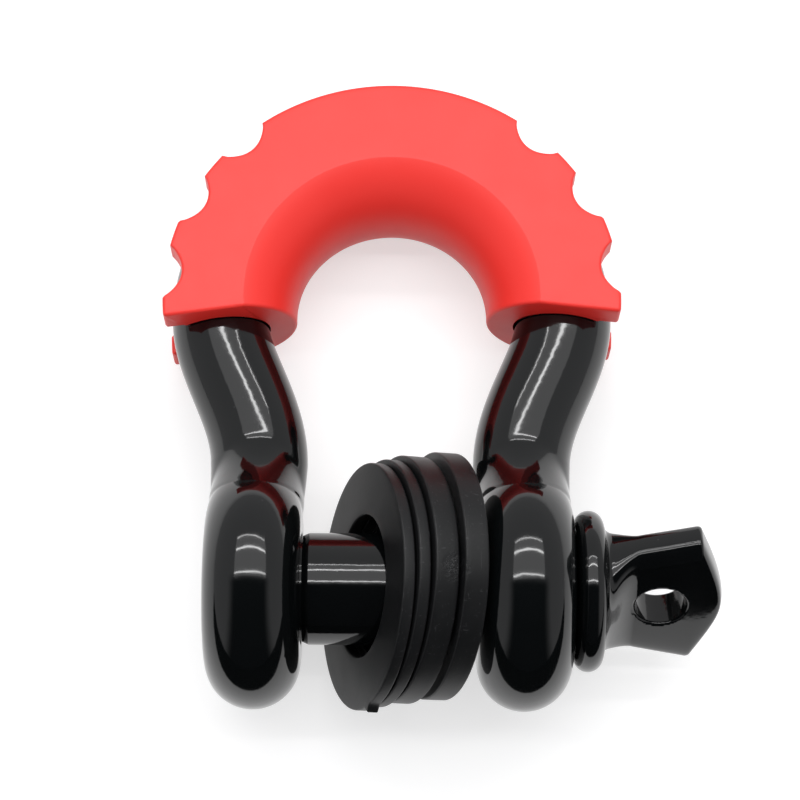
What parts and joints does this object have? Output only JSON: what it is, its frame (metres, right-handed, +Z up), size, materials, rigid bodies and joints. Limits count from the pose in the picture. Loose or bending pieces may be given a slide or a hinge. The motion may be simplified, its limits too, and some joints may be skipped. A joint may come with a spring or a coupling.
{
  "type": "bow shackle",
  "caption": "Bow shackle lying on its back: round-bar bow with ears, a screw pin with an eyed tab head, a moulded isolator boot on the crown and flat washers on the pin.",
  "frame": {"origin": "on the ground under the middle of the bounding box", "axes": "+Z up from the ground that the shackle lies on, +Y from the pin towards the crown of the bow, +X along the pin towards its head"},
  "size_m": [0.1118, 0.1278, 0.048],
  "materials": {
    "gloss_black": "gloss black paint on forged steel",
    "pin_black": "gloss black paint on turned and forged steel",
    "red_rubber": "satin moulded rubber",
    "black_plastic": "satin moulded plastic"
  },
  "bodies": {
    "bow": {"shackle_bow": "gloss_black"},
    "pin": {"screw_pin": "pin_black"},
    "boot": {"isolator_boot": "red_rubber"},
    "thick_washer_b": {"washer_4": "black_plastic"},
    "thick_washer_a": {"washer_3": "black_plastic"},
    "thin_washer_b": {"washer_2": "black_plastic"},
    "thin_washer_a": {"washer_1": "black_plastic"}
  },
  "joints": [
    {"name": "pin_draw", "type": "slide", "parent": "bow", "child": "pin", "axis": [1, 0, 0], "range_m": [0, 0.054]},
    {"name": "boot_shift", "type": "hinge", "parent": "bow", "child": "boot", "pos_m": [-0.01002, 0.01685, 0.01905], "axis": [0, 0.0851, 0.9964], "range_deg": [-5, 3]},
    {"name": "washer_4_slide", "type": "slide", "parent": "bow", "child": "thick_washer_b", "axis": [-1, 0, 0], "range_m": [0, 0.0011]},
    {"name": "washer_3_slide", "type": "slide", "parent": "thick_washer_b", "child": "thick_washer_a", "axis": [-1, 0, 0], "range_m": [0, 0.0011]},
    {"name": "washer_2_slide", "type": "slide", "parent": "thick_washer_a", "child": "thin_washer_b", "axis": [-1, 0, 0], "range_m": [0, 0.0011]},
    {"name": "washer_1_slide", "type": "slide", "parent": "thin_washer_b", "child": "thin_washer_a", "axis": [-1, 0, 0], "range_m": [0, 0.0011]}
  ]
}
